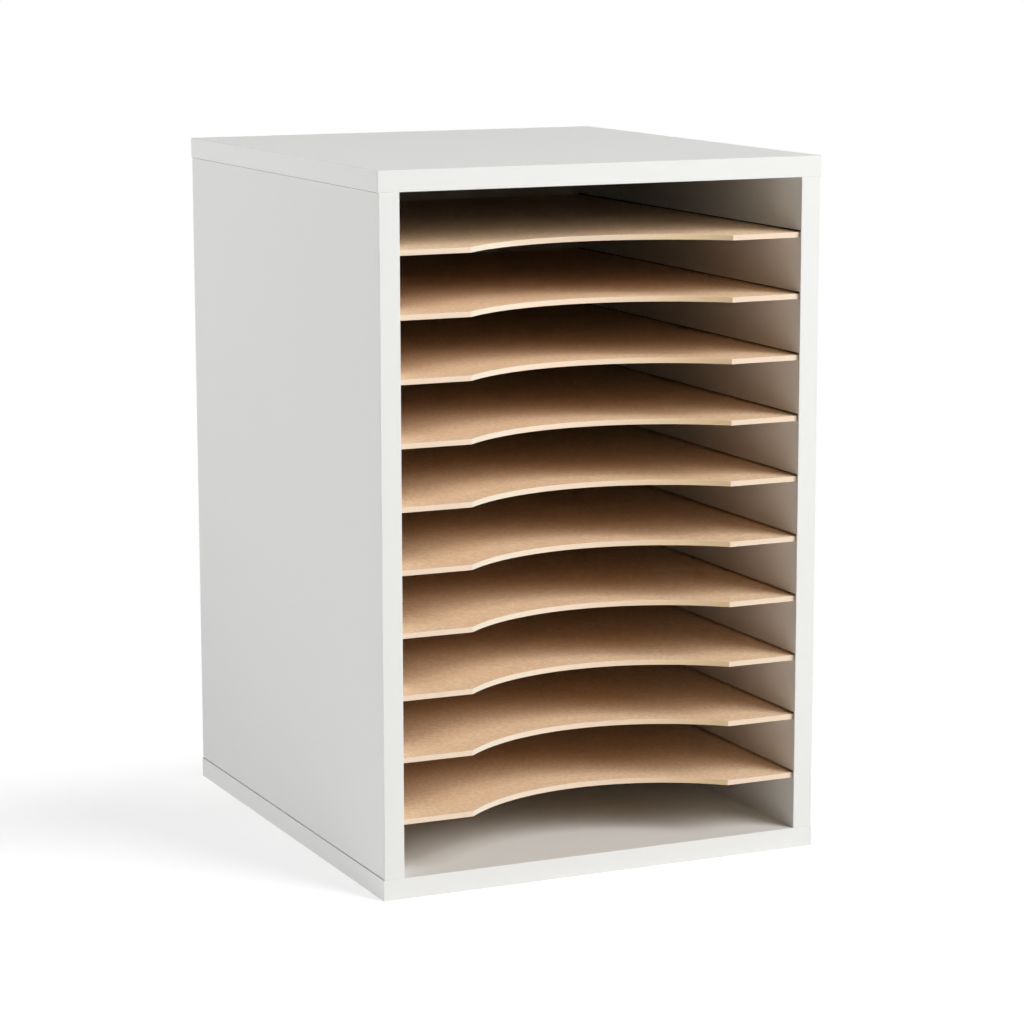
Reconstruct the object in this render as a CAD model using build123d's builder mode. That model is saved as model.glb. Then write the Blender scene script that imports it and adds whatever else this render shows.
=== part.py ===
from build123d import *
import os

os.makedirs("parts", exist_ok=True)

# Outside of the case, in millimetres. The origin is on the floor under the middle of the case,
# +X is to the right and the open front faces -Y.
inch = 25.4
case_width = 10.75 * inch
case_depth = 12 * inch
case_height = 16 * inch

# Case boards and the strips on their sawn edges
board = 12.0
edging = 1.0
edging_round = 0.3
side_inset = 0.6  # the sides stand this far in from the ends of the top and bottom
arris = 0.4  # bevel along the outer ends of a side, which makes its dark seams

# Back panel, let into a rebate all round and nailed
back_thickness = 3.0
back_inset = 1.0  # rear face of the panel to the rear of the case
rebate = 6.0  # width of the ledge that the panel bears on
back_fit = 0.4

# Shelves and their grooves
shelf_count = 10
shelf_thickness = 3.0
lowest_compartment = 30.2  # clear height under the lowest shelf
top_compartment = 31.5  # clear height over the highest shelf
shelf_setback = 2.0  # front of the case to the straight part of a shelf's front edge
shelf_back_play = 1.0
shelf_side_play = 0.4
shelf_bed = 0.05
groove_depth = 3.5
groove_slack = 1.2  # what a groove is taller than its shelf
cutout_width = 162.0
cutout_depth = 32.0

# Dowels, screws and nails, which have flats in place of a round to keep so many small pieces plain
fixing_margin = 36.0  # case front or back to the first fixing
dowel_radius = 3.0
dowel_sides = 12
dowel_in_panel = 8.0
dowel_in_side = 16.0
dowel_fit = 0.05
dowel_end_gap = 0.5
dowel_bevel = 0.6
top_dowel_count = 4
screw_count = 3
screw_sides = 16
screw_radius = 2.0
screw_length = 35.0
screw_head_radius = 3.9
screw_sink = 0.25  # head below the underside
screw_fit = 0.05
screw_point = 3.0
recess_width = 0.9
recess_length = 4.4
recess_depth = 1.3
nail_sides = 8
nail_radius = 0.6
nail_length = 16.0
nail_head_radius = 1.5
nail_head = 0.6
nail_point = 1.2
nail_fit = 0.05
nails_across = 3  # along the top and along the bottom

# Places worked out from the sizes above
front = -case_depth / 2
back = case_depth / 2
board_depth = case_depth - edging
board_middle = edging / 2
panel_length = case_width - 2 * edging
side_height = case_height - 2 * board
side_top = case_height - board
inner_width = case_width - 2 * (side_inset + board)
side_middle = inner_width / 2 + board / 2
seat_depth = back_thickness + back_inset
ledge = back - seat_depth
seat_width = inner_width + 2 * rebate
groove_height = shelf_thickness + groove_slack
shelf_span = side_height - lowest_compartment - top_compartment - shelf_thickness
shelf_pitch = shelf_span / (shelf_count - 1)
groove_floors = [board + lowest_compartment + row * shelf_pitch for row in range(shelf_count)]


def evenly(first, last, count):
    """Places spread evenly from first to last."""
    return [first + step * (last - first) / (count - 1) for step in range(count)]


first_fixing = front + fixing_margin
last_fixing = back - fixing_margin
screw_places = evenly(first_fixing, last_fixing, screw_count)
top_dowel_places = evenly(first_fixing, last_fixing, top_dowel_count)
bottom_dowel_places = [(a + b) / 2 for a, b in zip(screw_places, screw_places[1:])]


def both_sides(places):
    """Points over the middle of both side panels, at the given places along the depth."""
    return [(hand * side_middle, y) for hand in (-1, 1) for y in places]


# The nails stand in the middle of the ledge. Those in the sides lie half-way up every second
# compartment, clear of the grooves.
compartment_floors = [board] + [z + shelf_thickness for z in groove_floors]
compartment_roofs = groove_floors + [side_top]
compartment_middles = [(low + high) / 2 for low, high in zip(compartment_floors, compartment_roofs)]
nail_heights = compartment_middles[::2]
nail_line = inner_width / 2 + rebate / 2
nail_columns = evenly(-inner_width / 3, inner_width / 3, nails_across)
side_nails = [(nail_line, z) for z in nail_heights]
top_nails = [(x, side_top + rebate / 2) for x in nail_columns]
bottom_nails = [(x, board - rebate / 2) for x in nail_columns]
left_nails = [(-x, z) for x, z in side_nails]
all_nails = left_nails + side_nails + top_nails + bottom_nails
rear_plane = Plane(origin=(0, ledge, 0), x_dir=(1, 0, 0), z_dir=(0, -1, 0))


# Top panel: dowel holes in its underside, a stopped rebate for the back panel, nail holes
with BuildPart() as top_panel:
    with BuildSketch(Plane.XY.offset(side_top)):
        with Locations((0, board_middle)):
            Rectangle(panel_length, board_depth)
    extrude(amount=board)
    with BuildSketch(Plane.XY.offset(side_top)):
        with Locations((0, ledge + seat_depth / 2)):
            Rectangle(seat_width, seat_depth)
    extrude(amount=rebate, mode=Mode.SUBTRACT)
    with BuildSketch(Plane.XY.offset(side_top)):
        with Locations(*both_sides(top_dowel_places)):
            Circle(dowel_radius + dowel_fit)
    extrude(amount=dowel_in_panel + dowel_end_gap, mode=Mode.SUBTRACT)
    with BuildSketch(rear_plane):
        with Locations(*top_nails):
            RegularPolygon(nail_radius + nail_fit, nail_sides)
    extrude(amount=nail_length - back_thickness, mode=Mode.SUBTRACT)
top_panel.part.label = "top_panel"
export_step(top_panel.part, "parts/top_panel.step")

# Bottom panel: the same rebate upside down, and countersunk holes from below
with BuildPart() as bottom_panel:
    with BuildSketch(Plane.XY):
        with Locations((0, board_middle)):
            Rectangle(panel_length, board_depth)
    extrude(amount=board)
    with BuildSketch(Plane.XY.offset(board)):
        with Locations((0, ledge + seat_depth / 2)):
            Rectangle(seat_width, seat_depth)
    extrude(amount=-rebate, mode=Mode.SUBTRACT)
    with BuildSketch(Plane.XY.offset(board)):
        with Locations(*both_sides(bottom_dowel_places)):
            Circle(dowel_radius + dowel_fit)
    extrude(amount=-dowel_in_panel - dowel_end_gap, mode=Mode.SUBTRACT)
    with Locations(*[Location((x, y, 0), (180, 0, 0)) for x, y in both_sides(screw_places)]):
        CounterSinkHole(
            radius=screw_radius + screw_fit,
            counter_sink_radius=screw_head_radius + screw_sink + screw_fit,
            depth=board,
            counter_sink_angle=90,
        )
    with BuildSketch(rear_plane):
        with Locations(*bottom_nails):
            RegularPolygon(nail_radius + nail_fit, nail_sides)
    extrude(amount=nail_length - back_thickness, mode=Mode.SUBTRACT)
bottom_panel.part.label = "bottom_panel"
export_step(bottom_panel.part, "parts/bottom_panel.step")

# Right side panel: sawn grooves from end to end, rebate for the back panel, fixing holes
with BuildPart() as right_side_panel:
    with BuildSketch(Plane.XY.offset(board)):
        with Locations((side_middle, board_middle)):
            Rectangle(board, board_depth)
        with Locations((inner_width / 2 + rebate / 2, ledge + seat_depth / 2)):
            Rectangle(rebate, seat_depth, mode=Mode.SUBTRACT)
    extrude(amount=side_height)
    outer_face = right_side_panel.faces().sort_by(Axis.X)[-1]
    chamfer(outer_face.edges().filter_by(Axis.Y), arris)
    with Locations(*[(inner_width / 2 + groove_depth / 2, board_middle, z) for z in groove_floors]):
        Box(
            groove_depth,
            board_depth,
            groove_height,
            align=(Align.CENTER, Align.CENTER, Align.MIN),
            mode=Mode.SUBTRACT,
        )
    with BuildSketch(Plane.XY.offset(side_top)):
        with Locations(*[(side_middle, y) for y in top_dowel_places]):
            Circle(dowel_radius + dowel_fit)
    extrude(amount=-dowel_in_side - dowel_end_gap, mode=Mode.SUBTRACT)
    with BuildSketch(Plane.XY.offset(board)):
        with Locations(*[(side_middle, y) for y in bottom_dowel_places]):
            Circle(dowel_radius + dowel_fit)
    extrude(amount=dowel_in_side + dowel_end_gap, mode=Mode.SUBTRACT)
    with BuildSketch(Plane.XY.offset(board)):
        with Locations(*[(side_middle, y) for y in screw_places]):
            Circle(screw_radius + screw_fit)
    extrude(amount=screw_sink + screw_length - board, mode=Mode.SUBTRACT)
    with BuildSketch(rear_plane):
        with Locations(*side_nails):
            RegularPolygon(nail_radius + nail_fit, nail_sides)
    extrude(amount=nail_length - back_thickness, mode=Mode.SUBTRACT)
right_side_panel.part.label = "right_side_panel"
export_step(right_side_panel.part, "parts/right_side_panel.step")

# Left side panel: the right one mirrored
with BuildPart() as left_side_panel:
    mirror(right_side_panel.part, about=Plane.YZ)
left_side_panel.part.label = "left_side_panel"
export_step(left_side_panel.part, "parts/left_side_panel.step")

# Back panel
with BuildPart() as back_panel:
    with BuildSketch(rear_plane):
        with Locations((0, case_height / 2)):
            Rectangle(seat_width - 2 * back_fit, side_height + 2 * (rebate - back_fit))
        with Locations(*all_nails):
            RegularPolygon(nail_radius + nail_fit, nail_sides, mode=Mode.SUBTRACT)
    extrude(amount=-back_thickness)
back_panel.part.label = "back_panel"
export_step(back_panel.part, "parts/back_panel.step")

# Shelves: a plain board with a shallow arc cut out of the front edge for the fingers
shelf_width = inner_width + 2 * (groove_depth - shelf_side_play)
shelf_front = front + shelf_setback
shelf_rear = ledge - shelf_back_play
for row, groove_floor in enumerate(groove_floors, start=1):
    with BuildPart() as shelf:
        with BuildSketch(Plane.XY.offset(groove_floor + shelf_bed)):
            with BuildLine():
                Polyline(
                    (-cutout_width / 2, shelf_front),
                    (-shelf_width / 2, shelf_front),
                    (-shelf_width / 2, shelf_rear),
                    (shelf_width / 2, shelf_rear),
                    (shelf_width / 2, shelf_front),
                    (cutout_width / 2, shelf_front),
                )
                ThreePointArc(
                    (cutout_width / 2, shelf_front),
                    (0, shelf_front + cutout_depth),
                    (-cutout_width / 2, shelf_front),
                )
            make_face()
        extrude(amount=shelf_thickness)
    shelf.part.label = f"shelf_{row:02d}"
    export_step(shelf.part, f"parts/shelf_{row:02d}.step")

# Edge strips: each is a box glued on a sawn edge, with its outer corners broken
front_row = front + edging / 2
end_row = case_width / 2 - edging / 2
top_row = case_height - board / 2
bottom_row = board / 2
outwards = {"front": -Axis.Y, "left": -Axis.X, "right": Axis.X}
strips = {
    "top_front": (case_width, edging, board, (0, front_row, top_row)),
    "bottom_front": (case_width, edging, board, (0, front_row, bottom_row)),
    "left_front": (board, edging, side_height, (-side_middle, front_row, case_height / 2)),
    "right_front": (board, edging, side_height, (side_middle, front_row, case_height / 2)),
    "top_left": (edging, board_depth, board, (-end_row, board_middle, top_row)),
    "top_right": (edging, board_depth, board, (end_row, board_middle, top_row)),
    "bottom_left": (edging, board_depth, board, (-end_row, board_middle, bottom_row)),
    "bottom_right": (edging, board_depth, board, (end_row, board_middle, bottom_row)),
}
for name, (length, depth, height, middle) in strips.items():
    with BuildPart() as strip:
        with Locations(middle):
            Box(length, depth, height)
        outer_face = strip.faces().sort_by(outwards[name.split("_")[1]])[-1]
        fillet(outer_face.edges(), edging_round)
    strip.part.label = f"{name}_edging"
    export_step(strip.part, f"parts/{name}_edging.step")

# Dowels: each stands in the joint between a side panel and the panel above or below it
dowel_length = dowel_in_panel + dowel_in_side
with BuildPart() as top_dowels:
    with BuildSketch(Plane.XY.offset(side_top - dowel_in_side)):
        with Locations(*both_sides(top_dowel_places)):
            RegularPolygon(dowel_radius, dowel_sides)
    extrude(amount=dowel_length)
    chamfer(top_dowels.faces().filter_by(Axis.Z).edges(), dowel_bevel)
top_dowels.part.label = "top_dowels"
export_step(top_dowels.part, "parts/top_dowels.step")

with BuildPart() as bottom_dowels:
    with BuildSketch(Plane.XY.offset(board - dowel_in_panel)):
        with Locations(*both_sides(bottom_dowel_places)):
            RegularPolygon(dowel_radius, dowel_sides)
    extrude(amount=dowel_length)
    chamfer(bottom_dowels.faces().filter_by(Axis.Z).edges(), dowel_bevel)
bottom_dowels.part.label = "bottom_dowels"
export_step(bottom_dowels.part, "parts/bottom_dowels.step")


def pointed_shank(radius, sides, length, point):
    """A shank that hangs down from the XY plane, with a point at its end."""
    shoulder = Plane.XY.offset(point - length)
    with BuildPart() as shank:
        with BuildSketch(shoulder):
            RegularPolygon(radius, sides)
        extrude(amount=length - point)
        with BuildSketch(shoulder) as point_base:
            RegularPolygon(radius, sides)
        loft([point_base.sketch.face(), Vertex(0, 0, -length)])
    return shank.part


# Screws: a countersunk head with a cross recess, driven from below under both sides
screw_head_height = screw_head_radius - screw_radius
with BuildPart() as screw:
    with BuildSketch(Plane.XY):
        RegularPolygon(screw_head_radius, screw_sides)
    with BuildSketch(Plane.XY.offset(-screw_head_height)):
        RegularPolygon(screw_radius, screw_sides)
    loft()
    with Locations((0, 0, -screw_head_height)):
        add(pointed_shank(screw_radius, screw_sides, screw_length - screw_head_height, screw_point))
    with BuildSketch(Plane.XY):
        Rectangle(recess_length, recess_width)
        Rectangle(recess_width, recess_length)
    extrude(amount=-recess_depth, mode=Mode.SUBTRACT)

with BuildPart() as bottom_screws:
    with Locations(*[Location((x, y, screw_sink), (180, 0, 0)) for x, y in both_sides(screw_places)]):
        add(screw.part)
bottom_screws.part.label = "bottom_screws"
export_step(bottom_screws.part, "parts/bottom_screws.step")

# Nails: a flat head against the back panel and a pointed shank into the board behind it
with BuildPart() as nail:
    with BuildSketch(Plane.XY):
        RegularPolygon(nail_head_radius, nail_sides)
    extrude(amount=nail_head)
    add(pointed_shank(nail_radius, nail_sides, nail_length, nail_point))

with BuildPart() as back_nails:
    with Locations(*[Location((x, back - back_inset, z), (-90, 0, 0)) for x, z in all_nails]):
        add(nail.part)
back_nails.part.label = "back_nails"
export_step(back_nails.part, "parts/back_nails.step")
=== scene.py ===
import bpy
import math
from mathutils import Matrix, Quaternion, Vector


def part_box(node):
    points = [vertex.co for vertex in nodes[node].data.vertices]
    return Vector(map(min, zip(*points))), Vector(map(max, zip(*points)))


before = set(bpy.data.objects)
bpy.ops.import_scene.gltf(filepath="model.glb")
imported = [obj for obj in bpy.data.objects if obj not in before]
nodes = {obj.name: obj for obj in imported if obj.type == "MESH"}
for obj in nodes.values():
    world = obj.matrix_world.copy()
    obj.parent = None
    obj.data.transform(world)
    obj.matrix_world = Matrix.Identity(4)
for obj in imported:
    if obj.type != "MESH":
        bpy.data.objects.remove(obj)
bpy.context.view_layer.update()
scene = bpy.context.scene
scene.view_settings.view_transform = "Standard"

mm = 0.001


# The camera stands where the picture was taken from
cameraSpec = {
    "place": (-0.80724, -1.79664, 0.53706),  # metres, from the floor under the middle of the case
    "azimuth": -24.5063,  # degrees, to the left of straight ahead
    "elevation": 10.1145,
    "roll": -0.0937,
    "lens": 116.13,
    "sensor": 36.0,
    "clipEnd": 100.0,
}


def directionFrom(azimuth, elevation):
    a, e = math.radians(azimuth), math.radians(elevation)
    return Vector((math.sin(a) * math.cos(e), -math.cos(a) * math.cos(e), math.sin(e)))


def addCamera(spec):
    data = bpy.data.cameras.new("camera")
    data.lens = spec["lens"]
    data.sensor_width = spec["sensor"]
    data.clip_end = spec["clipEnd"]
    camera = bpy.data.objects.new("camera", data)
    back = directionFrom(spec["azimuth"], spec["elevation"])
    camera.rotation_mode = "QUATERNION"
    camera.location = spec["place"]
    roll = Quaternion((0, 0, 1), math.radians(spec["roll"]))
    camera.rotation_quaternion = (-back).to_track_quat("-Z", "Y") @ roll
    scene.collection.objects.link(camera)
    scene.camera = camera


addCamera(cameraSpec)
print("camera placed")


# Studio light, in degrees and metres. A level of 1 makes a white surface that faces the lamp as
# bright as white.
lampSpecs = {
    "key": {"azimuth": 35, "elevation": 29, "distance": 4.2, "size": (2.6, 1.8), "level": 0.678},
    "keyHigh": {"azimuth": 35, "elevation": 48, "distance": 4.2, "size": (1.8, 1.6), "level": 0.29},
    "leftFill": {"azimuth": -107, "elevation": 17, "distance": 2.6, "size": (2.0, 2.0), "level": 0.508},
    "backFill": {"azimuth": 165, "elevation": 3, "distance": 3.0, "size": (2.0, 0.5), "level": 0.4},
}
lampTarget = Vector((0, 0, 0.2))  # the middle of the case


def addLamp(name, spec):
    data = bpy.data.lights.new(name, "AREA")
    data.shape = "RECTANGLE"
    data.size, data.size_y = spec["size"]
    data.energy = spec["level"] * math.pi ** 2 * spec["distance"] ** 2
    lamp = bpy.data.objects.new(name, data)
    towards = directionFrom(spec["azimuth"], spec["elevation"])
    lamp.location = lampTarget + towards * spec["distance"]
    lamp.rotation_mode = "QUATERNION"
    lamp.rotation_quaternion = (-towards).to_track_quat("-Z", "Y")
    lamp.visible_glossy = False  # its reflection would burn out the top panel
    scene.collection.objects.link(lamp)


for name, spec in lampSpecs.items():
    addLamp(name, spec)
print("lamps:", len(lampSpecs))


class Graph:
    # A short way to write node trees. add gives back the node, split and normal give back x, y
    # and z, and most others give back the one output that is used.
    def __init__(self, tree):
        self.tree = tree
        tree.nodes.clear()

    def feed(self, socket, value):
        if isinstance(value, bpy.types.NodeSocket):
            self.tree.links.new(value, socket)
        elif value is not None:
            socket.default_value = value

    def add(self, kind, inputs=(), **settings):
        node = self.tree.nodes.new(kind)
        for key, value in settings.items():
            setattr(node, key, value)
        pairs = inputs.items() if isinstance(inputs, dict) else enumerate(inputs)
        for key, value in pairs:
            self.feed(node.inputs[key], value)
        return node

    def calc(self, operation, a, b=None, c=None):
        return self.add("ShaderNodeMath", [a, b, c], operation=operation).outputs[0]

    def ramp(self, value, low, high, out=(0.0, 1.0)):
        inputs = {"Value": value, "From Min": low, "From Max": high, "To Min": out[0], "To Max": out[1]}
        return self.add("ShaderNodeMapRange", inputs, interpolation_type="SMOOTHSTEP").outputs[0]

    def mix(self, factor, a, b):
        node = self.tree.nodes.new("ShaderNodeMix")
        node.data_type = "RGBA"
        self.feed(node.inputs[0], factor)
        for socket, value in ((node.inputs[6], a), (node.inputs[7], b)):
            self.feed(socket, (*value, 1.0) if isinstance(value, tuple) else value)
        return node.outputs[2]

    def noise(self, vector, scale, detail, roughness):
        inputs = {"Vector": vector, "Scale": scale, "Detail": detail, "Roughness": roughness}
        return self.add("ShaderNodeTexNoise", inputs).outputs[0]

    def place(self):
        return self.add("ShaderNodeTexCoord").outputs["Object"]

    def stretched(self, vector, scale):
        return self.add("ShaderNodeMapping", {"Vector": vector, "Scale": scale}).outputs[0]

    def turned(self, vector, angle):
        inputs = {"Vector": vector, "Angle": angle}
        return self.add("ShaderNodeVectorRotate", inputs, rotation_type="Z_AXIS").outputs[0]

    def split(self, vector):
        return self.add("ShaderNodeSeparateXYZ", [vector]).outputs

    def normal(self):
        return self.split(self.add("ShaderNodeNewGeometry").outputs["Normal"])

    def bump(self, height, distance, under=None):
        inputs = {"Height": height, "Distance": distance, "Strength": 1.0, "Normal": under}
        return self.add("ShaderNodeBump", inputs).outputs[0]

    def surface(self, color, roughness, normal, **constants):
        inputs = {"Base Color": color, "Roughness": roughness, "Normal": normal, **constants}
        shader = self.add("ShaderNodeBsdfPrincipled", inputs)
        self.add("ShaderNodeOutputMaterial", [shader.outputs[0]])


def newMaterial(name):
    material = bpy.data.materials.new(name)
    material.use_nodes = True
    return material, Graph(material.node_tree)


def dress(material, *names):
    for name in names:
        slots = nodes[name].data.materials
        if len(slots) == 0:
            slots.append(material)
        for index in range(len(slots)):
            slots[index] = material


# Every noise in the dictionaries below is its scale, its detail and its roughness. Most of a noise
# lies in the middle span, nearly all of it in the wide one.
noiseMiddle = (0.3, 0.7)
noiseWide = (0.2, 0.8)


# White paper-laminated particle board. The skin is the outermost part of the board's thickness,
# and whatever lies deeper, in a groove or on a sawn edge, shows the chips.
boardSpec = {
    "skin": 0.15 * mm,
    "white": (0.83, 0.832, 0.813),
    "cloudShade": 0.985,
    "cloudNoise": (9.0, 2.0, 0.5),
    "cloudShare": 0.25,
    "grainNoise": (1700.0, 2.0, 0.6),
    "grainBump": 0.006 * mm,
    "roughness": (0.38, 0.5),
    "rawRoughness": 0.4,  # what the chips add to it
    "IOR": 1.46,
    "chipColors": ((0.30, 0.19, 0.10), (0.55, 0.40, 0.25), (0.70, 0.55, 0.38)),
    "chipLength": 4.0 * mm,
    "chipThickness": 0.9 * mm,
    "chipBump": 0.25 * mm,
    "dustNoise": (1400.0, 4.0, 0.7),
    "dustSpan": (0.45, 0.75),
    "dustShare": 0.5,
    "gapSpan": (0.35, 0.75),
    "gapShare": 0.6,
    "shadeFadeSpan": (0.3, 0.7),  # how far a raw face turns to y as the painted shade fades out
    # Painted shade for the grooves and the seam bevels, dark and uneven, standing in for the shadow in
    # these gaps
    "paintedShade": (0.045, 0.030, 0.020),
    "paintedShadeNoise": (45.0, 3.0, 0.6),
    "paintedShadeSpan": (0.3, 0.6),
    "paintedShadeShare": (0.75, 1.0),
}


def laminatedBoard(name, node, axis):
    spec = boardSpec
    low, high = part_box(node)
    middle = (low[axis] + high[axis]) / 2
    half = (high[axis] - low[axis]) / 2
    material, g = newMaterial(name)
    place = g.place()
    depth = g.calc("ABSOLUTE", g.calc("SUBTRACT", g.split(place)[axis], middle))
    skin = g.calc("GREATER_THAN", depth, half - spec["skin"])

    # Chips lie flat in the board, so they are stretched along its faces
    scale = [1 / spec["chipLength"]] * 3
    scale[axis] = 1 / spec["chipThickness"]
    bent = g.stretched(place, tuple(scale))
    cells = g.add("ShaderNodeTexVoronoi", {"Vector": bent, "Scale": 1.0, "Randomness": 1.0})
    shade = g.split(cells.outputs["Color"])[0]
    dark, mid, pale = spec["chipColors"]
    chips = g.mix(g.ramp(shade, 0.0, 0.5), dark, mid)
    chips = g.mix(g.ramp(shade, 0.5, 1.0), chips, pale)
    dust = g.noise(place, *spec["dustNoise"])
    chips = g.mix(g.ramp(dust, *spec["dustSpan"], (0.0, spec["dustShare"])), chips, mid)
    gaps = g.ramp(cells.outputs["Distance"], *spec["gapSpan"], (0.0, spec["gapShare"]))
    chips = g.mix(gaps, chips, dark)

    # Grooves and the bevels that make the seams get a dark painted shade, uneven along them: mostly the
    # shadow in these gaps, with some dirt at the seams. The rear edges, which face along y, do not.
    notAlongY = g.ramp(g.calc("ABSOLUTE", g.normal()[1]), *spec["shadeFadeSpan"], (1.0, 0.0))
    patchy = g.noise(place, *spec["paintedShadeNoise"])
    paintedShadeMask = g.calc("MULTIPLY", notAlongY, g.ramp(patchy, *spec["paintedShadeSpan"], spec["paintedShadeShare"]))
    chips = g.mix(paintedShadeMask, chips, spec["paintedShade"])
    chipHeight = g.calc("MULTIPLY", g.calc("ADD", shade, dust), 0.5)

    # The skin is even, with a faint cloudiness and a very fine grain
    cloud = g.noise(place, *spec["cloudNoise"])
    grain = g.noise(place, *spec["grainNoise"])
    cloudy = tuple(v * spec["cloudShade"] for v in spec["white"])
    white = g.mix(g.ramp(cloud, *noiseMiddle, (0.0, spec["cloudShare"])), spec["white"], cloudy)
    rawRoughness = g.ramp(skin, 0.0, 1.0, (spec["rawRoughness"], 0.0))
    roughness = g.calc("ADD", g.ramp(grain, *noiseWide, spec["roughness"]), rawRoughness)
    height = g.calc("MULTIPLY", chipHeight, g.ramp(skin, 0.0, 1.0, (1.0, 0.0)))
    bumped = g.bump(grain, spec["grainBump"], under=g.bump(height, spec["chipBump"]))
    g.surface(g.mix(skin, chips, white), roughness, bumped, IOR=spec["IOR"])
    return material


dress(laminatedBoard("laminateFlat", "top_panel", 2), "top_panel")
dress(laminatedBoard("laminateFloor", "bottom_panel", 2), "bottom_panel")
dress(laminatedBoard("laminateLeft", "left_side_panel", 0), "left_side_panel")
dress(laminatedBoard("laminateRight", "right_side_panel", 0), "right_side_panel")
print("boards laminated")


# Edge strips: a slightly brighter white, a little smoother, with a hair of glue next to the board
stripSpec = {
    "white": (0.857, 0.857, 0.835),
    "grainNoise": (1900.0, 2.0, 0.6),
    "grainBump": 0.005 * mm,
    "roughness": (0.34, 0.46),
    "IOR": 1.5,
    "glue": (0.62, 0.52, 0.38),
    "glueLine": 0.12 * mm,
    "glueReach": (0.3, 1.6),  # in glue lines, where it is thinnest and widest
    "glueNoise": (60.0, 3.0, 0.6),
    "glueSpan": (0.35, 0.7),
}


def edgeStrip(name, node, axis, side):
    # side is 1 where the board lies on the high side of the strip along axis, else 0
    spec = stripSpec
    low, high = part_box(node)
    inner = high[axis] if side else low[axis]
    material, g = newMaterial(name)
    place = g.place()
    fromBoard = g.calc("ABSOLUTE", g.calc("SUBTRACT", g.split(place)[axis], inner))
    uneven = g.noise(place, *spec["glueNoise"])
    reach = g.ramp(uneven, *spec["glueSpan"], tuple(v * spec["glueLine"] for v in spec["glueReach"]))
    glue = g.calc("LESS_THAN", fromBoard, reach)
    grain = g.noise(place, *spec["grainNoise"])
    roughness = g.ramp(grain, *noiseWide, spec["roughness"])
    color = g.mix(glue, spec["white"], spec["glue"])
    g.surface(color, roughness, g.bump(grain, spec["grainBump"]), IOR=spec["IOR"])
    return material


dress(
    edgeStrip("frontStrip", "top_front_edging", 1, 1),
    "top_front_edging", "bottom_front_edging", "left_front_edging", "right_front_edging",
)
dress(edgeStrip("leftStrip", "top_left_edging", 0, 1), "top_left_edging", "bottom_left_edging")
dress(edgeStrip("rightStrip", "top_right_edging", 0, 0), "top_right_edging", "bottom_right_edging")
print("edge strips done")


# Raw fibreboard of the shelves: a pale brown pressed face, a rougher underside and a lighter cut edge,
# with painted light and shade on the edge by the way it faces
shelfSpec = {
    "face": (0.985, 0.785, 0.555),
    "faceDark": (0.85, 0.605, 0.398),
    "under": (0.85, 0.65, 0.465),
    "blush": (0.96, 0.68, 0.46),
    "fibre": (0.48, 0.31, 0.18),
    "blushNoise": (45.0, 2.0, 0.5),
    "blushSpan": (0.35, 0.65),
    "blushShare": 0.4,
    "mottleStretch": (400.0, 270.0, 400.0),
    "mottleNoise": (1.0, 3.0, 0.6),
    "mottleSpan": (0.38, 0.62),
    "mottleShare": 0.8,
    "mottleShareUnder": 0.3,
    "fineNoise": (900.0, 3.0, 0.65),
    "fineSpan": (0.35, 0.75),
    "fineShare": 0.45,
    "hairStretch": (380.0, 2100.0, 900.0),  # along a hair, across it and up
    "hairNoise": (1.0, 2.0, 0.5),
    "hairLayers": ((0.4, 1.0), (1.5, 0.8), (2.6, 0.9)),  # turned by, in radians, and how fine
    "hairSpan": (0.64, 0.78),
    "hairShare": 0.5,
    # The cut edge colours are painted light: palest facing right, towards the key light, deepest facing
    # left, away from it
    "edgeLitRight": (0.81, 0.75, 0.625),  # painted highlight, where the cut edge faces right, towards the key light
    "edgeHalfLitFront": (0.90, 0.74, 0.575),
    "edgeShadedLeft": (0.99, 0.75, 0.45),
    "edgeTurn": 0.7,  # how fast the painted light on the edge goes from one colour to the next as it turns
    "edgeCore": 0.2,  # half the thickness of its loose middle, as a share of the board's
    "edgeLoose": 0.12,
    "edgeFineSpan": (0.4, 0.7),
    "roughness": 0.75,
    "bump": 0.06 * mm,
    "bumpFine": 0.6,  # the parts that the fine noise and the mottle have in it
    "bumpMottle": 0.4,
    "IOR": 1.4,
}


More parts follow.
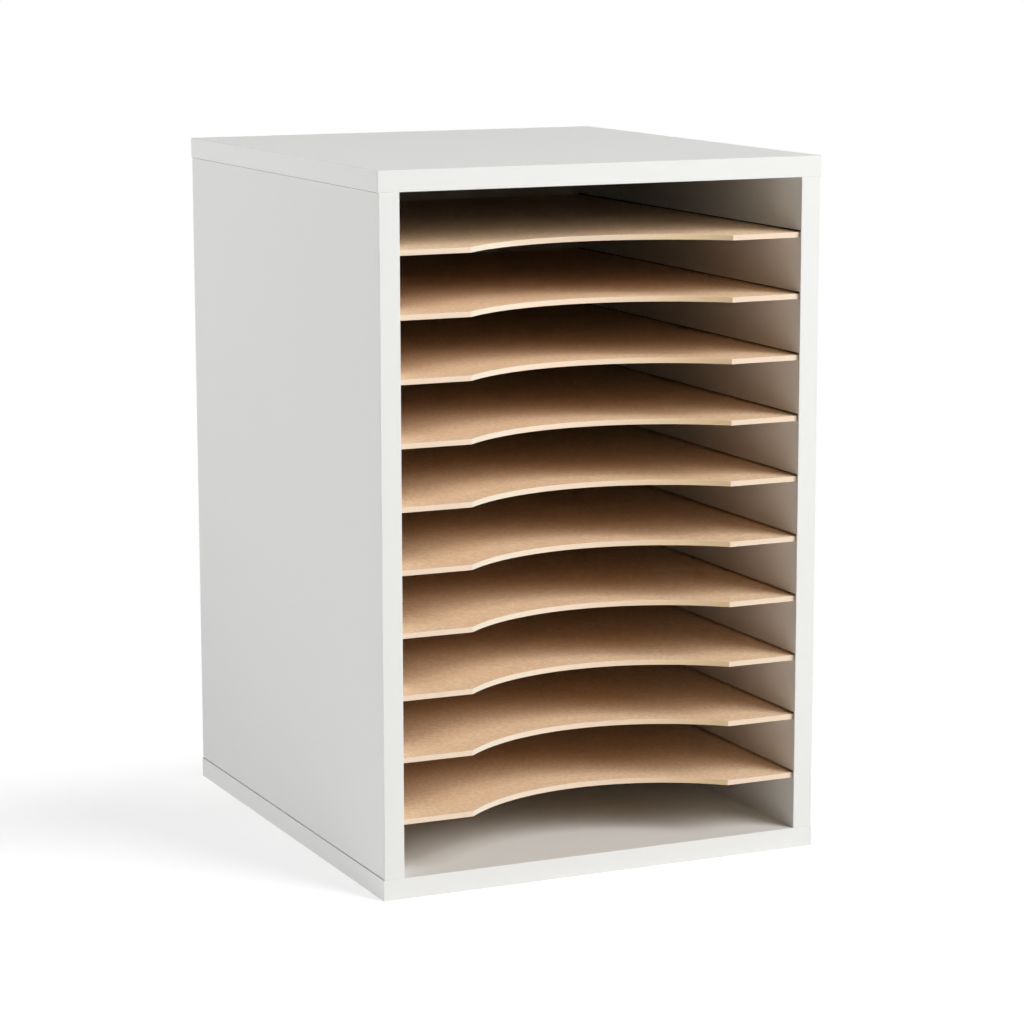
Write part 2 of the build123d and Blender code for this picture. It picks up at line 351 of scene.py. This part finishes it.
def fibreboard():
    spec = shelfSpec
    firstLow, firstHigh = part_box("shelf_01")
    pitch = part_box("shelf_02")[0].z - firstLow.z
    thickness = firstHigh.z - firstLow.z
    material, g = newMaterial("fibreboard")
    place = g.place()
    z = g.split(place)[2]
    normal = g.normal()
    flat = g.calc("GREATER_THAN", g.calc("ABSOLUTE", normal[2]), 0.5)

    # The pressed face blushes in broad patches, is mottled at two sizes, and has hair-fine fibres
    broad = g.noise(place, *spec["blushNoise"])
    mottle = g.noise(g.stretched(place, spec["mottleStretch"]), *spec["mottleNoise"])
    fine = g.noise(place, *spec["fineNoise"])
    blushed = g.ramp(broad, *spec["blushSpan"], (0.0, spec["blushShare"]))
    face = g.mix(blushed, spec["face"], spec["blush"])
    face = g.mix(g.ramp(mottle, *spec["mottleSpan"], (0.0, spec["mottleShare"])), face, spec["faceDark"])
    face = g.mix(g.ramp(fine, *spec["fineSpan"], (0.0, spec["fineShare"])), face, spec["faceDark"])
    along, across, up = spec["hairStretch"]
    for turn, size in spec["hairLayers"]:
        drawn = g.stretched(g.turned(place, turn), (along * size, across * size, up))
        hairs = g.noise(drawn, *spec["hairNoise"])
        face = g.mix(g.ramp(hairs, *spec["hairSpan"], (0.0, spec["hairShare"])), face, spec["fibre"])
    speckle = g.ramp(mottle, *spec["mottleSpan"], (0.0, spec["mottleShareUnder"]))
    under = g.mix(speckle, spec["under"], spec["fibre"])
    face = g.mix(g.calc("LESS_THAN", normal[2], -0.5), face, under)

    # The cut edge is denser and paler towards both faces of the board, the same on every shelf.
    # Height starts anew at a quarter of the pitch below each shelf, so that no shelf is split.
    inRow = g.calc("MODULO", g.calc("SUBTRACT", z, firstLow.z - pitch / 4), pitch)
    fromMiddle = g.calc("ABSOLUTE", g.calc("SUBTRACT", inRow, pitch / 4 + thickness / 2))
    # Painted light and shade: the edge is paler where it faces right, towards the key light, and deeper
    # where it faces left, away from it
    turned = g.calc("MULTIPLY_ADD", normal[0], spec["edgeTurn"], 0.5)
    cutLitAndShaded = g.mix(g.ramp(turned, 0.0, 0.5), spec["edgeShadedLeft"], spec["edgeHalfLitFront"])
    cutLitAndShaded = g.mix(g.ramp(turned, 0.5, 1.0), cutLitAndShaded, spec["edgeLitRight"])
    core = spec["edgeCore"] * thickness
    loose = g.ramp(fromMiddle, core, thickness / 2, (spec["edgeLoose"], 0.0))
    loose = g.calc("ADD", loose, g.ramp(fine, *spec["edgeFineSpan"], (0.0, spec["edgeLoose"])))
    cutLitAndShaded = g.mix(loose, cutLitAndShaded, spec["faceDark"])

    height = g.calc("MULTIPLY", mottle, spec["bumpMottle"])
    height = g.calc("ADD", g.calc("MULTIPLY", fine, spec["bumpFine"]), height)
    color = g.mix(flat, cutLitAndShaded, face)
    g.surface(color, spec["roughness"], g.bump(height, spec["bump"]), IOR=spec["IOR"])
    return material


dress(fibreboard(), *[name for name in nodes if name.startswith("shelf_")])
print("shelves done")


# Back panel: thin fibreboard, painted off-white on the face that looks into the case. That white is
# warmed by a painted tint, which stands in for the brown light bounced off the shelves.
backSpec = {
    # off-white paint, warmed with painted light: a brown tint for the light bounced off the shelves
    "white": (0.88, 0.79, 0.68),
    "paint": 0.1 * mm,
    "raw": (0.42, 0.28, 0.17),
    "rawDark": (0.30, 0.19, 0.11),
    "darkShare": 0.5,
    "weaveNoise": (500.0, 4.0, 0.7),
    "cloudNoise": (30.0, 4.0, 0.6),
    "roughness": 0.6,
    "bump": 0.06 * mm,
    "IOR": 1.45,
}


def backBoard():
    spec = backSpec
    low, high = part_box("back_panel")
    material, g = newMaterial("backBoard")
    place = g.place()
    painted = g.calc("LESS_THAN", g.split(place)[1], low.y + spec["paint"])
    weave = g.noise(place, *spec["weaveNoise"])
    cloud = g.noise(place, *spec["cloudNoise"])
    share = (0.0, spec["darkShare"])
    raw = g.mix(g.ramp(cloud, *noiseMiddle, share), spec["raw"], spec["rawDark"])
    raw = g.mix(g.ramp(weave, *noiseMiddle, share), raw, spec["rawDark"])
    color = g.mix(painted, raw, spec["white"])
    g.surface(color, spec["roughness"], g.bump(weave, spec["bump"]), IOR=spec["IOR"])
    return material


dress(backBoard(), "back_panel")
print("back panel done")


# Beech dowels
beechSpec = {
    "colors": ((0.62, 0.44, 0.27), (0.74, 0.56, 0.37)),
    "grainStretch": (900.0, 900.0, 90.0),  # drawn out along the dowel
    "grainNoise": (1.0, 3.0, 0.6),
    "roughness": 0.6,
    "bump": 0.05 * mm,
}


def beech():
    spec = beechSpec
    material, g = newMaterial("beech")
    streaks = g.noise(g.stretched(g.place(), spec["grainStretch"]), *spec["grainNoise"])
    color = g.mix(g.ramp(streaks, *noiseMiddle), *spec["colors"])
    g.surface(color, spec["roughness"], g.bump(streaks, spec["bump"]))
    return material


# Zinc-plated screws and bright nails, both finely scratched
steelSpec = {
    "zinc": (0.66, 0.64, 0.58),
    "zincRoughness": 0.3,
    "bright": (0.52, 0.52, 0.53),
    "brightRoughness": 0.35,
    "scratchStretch": (600.0, 2400.0, 600.0),
    "scratchNoise": (1.0, 3.0, 0.6),
    "scratchShade": 0.8,
    "scratchRoughness": 0.15,  # what the scratches add
    "bump": 0.01 * mm,
}


def steel(name, tint, rough):
    spec = steelSpec
    material, g = newMaterial(name)
    scratches = g.noise(g.stretched(g.place(), spec["scratchStretch"]), *spec["scratchNoise"])
    dull = tuple(v * spec["scratchShade"] for v in tint)
    color = g.mix(g.ramp(scratches, *noiseMiddle), tint, dull)
    roughness = g.ramp(scratches, *noiseMiddle, (rough, rough + spec["scratchRoughness"]))
    g.surface(color, roughness, g.bump(scratches, spec["bump"]), Metallic=1.0)
    return material


dress(beech(), "top_dowels", "bottom_dowels")
dress(steel("zinc", steelSpec["zinc"], steelSpec["zincRoughness"]), "bottom_screws")
dress(steel("nailSteel", steelSpec["bright"], steelSpec["brightRoughness"]), "back_nails")
print("fixings done")


# White surroundings: a strength of 1 for what sees or mirrors them, and little light of their own
worldSpec = {"seen": 1.0, "light": 0.03}


def paintWorld(spec):
    world = bpy.data.worlds.new("studio")
    scene.world = world
    world.use_nodes = True
    g = Graph(world.node_tree)
    rays = g.add("ShaderNodeLightPath").outputs
    seen = g.calc("MAXIMUM", rays["Is Camera Ray"], rays["Is Glossy Ray"])
    seen = g.calc("MAXIMUM", seen, rays["Is Transmission Ray"])
    strength = g.ramp(seen, 0.0, 1.0, (spec["light"], spec["seen"]))
    background = g.add("ShaderNodeBackground", {"Color": (1, 1, 1, 1), "Strength": strength})
    g.add("ShaderNodeOutputWorld", [background.outputs[0]])


# White paper floor. Near the case it takes the shadow, and further off it is plain white.
floorSpec = {
    "half": 8.0,
    "color": 0.94,
    "colorSeen": 0.70,  # what the camera sees, so that the shadow stays faint
    "lift": 0.545,  # glow for the camera alone, which brings the unshaded floor up to white
    "shadowReach": (0.35, 0.75),  # metres from the origin over which the floor turns plain white
    "shadowBack": (0.06, 0.22),  # the same towards the back
}


def addFloor(spec):
    half = spec["half"]
    mesh = bpy.data.meshes.new("floor")
    corners = [(-half, -half, 0), (half, -half, 0), (half, half, 0), (-half, half, 0)]
    mesh.from_pydata(corners, [], [(0, 1, 2, 3)])
    floor = bpy.data.objects.new("floor", mesh)
    scene.collection.objects.link(floor)
    material, g = newMaterial("floorPaper")
    rays = g.add("ShaderNodeLightPath").outputs
    direct = rays["Is Camera Ray"]
    mirrored = g.calc("MAXIMUM", rays["Is Glossy Ray"], rays["Is Transmission Ray"])
    shade = g.ramp(direct, 0.0, 1.0, (spec["color"], spec["colorSeen"]))
    paper = g.add("ShaderNodeBsdfDiffuse", {"Color": shade}).outputs[0]
    glow = g.add("ShaderNodeEmission", {"Strength": g.calc("MULTIPLY", direct, spec["lift"])}).outputs[0]
    near = g.add("ShaderNodeAddShader", [paper, glow]).outputs[0]
    white = g.add("ShaderNodeEmission", {"Strength": 1.0}).outputs[0]
    place = g.place()
    away = g.add("ShaderNodeVectorMath", [place], operation="LENGTH").outputs["Value"]
    behind = g.ramp(g.split(place)[1], *spec["shadowBack"])
    far = g.calc("MAXIMUM", g.ramp(away, *spec["shadowReach"]), behind)
    plain = g.calc("MAXIMUM", g.calc("MULTIPLY", far, direct), mirrored)
    both = g.add("ShaderNodeMixShader", [plain, near, white]).outputs[0]
    g.add("ShaderNodeOutputMaterial", [both])
    mesh.materials.append(material)


paintWorld(worldSpec)
addFloor(floorSpec)
print("floor and surroundings done")
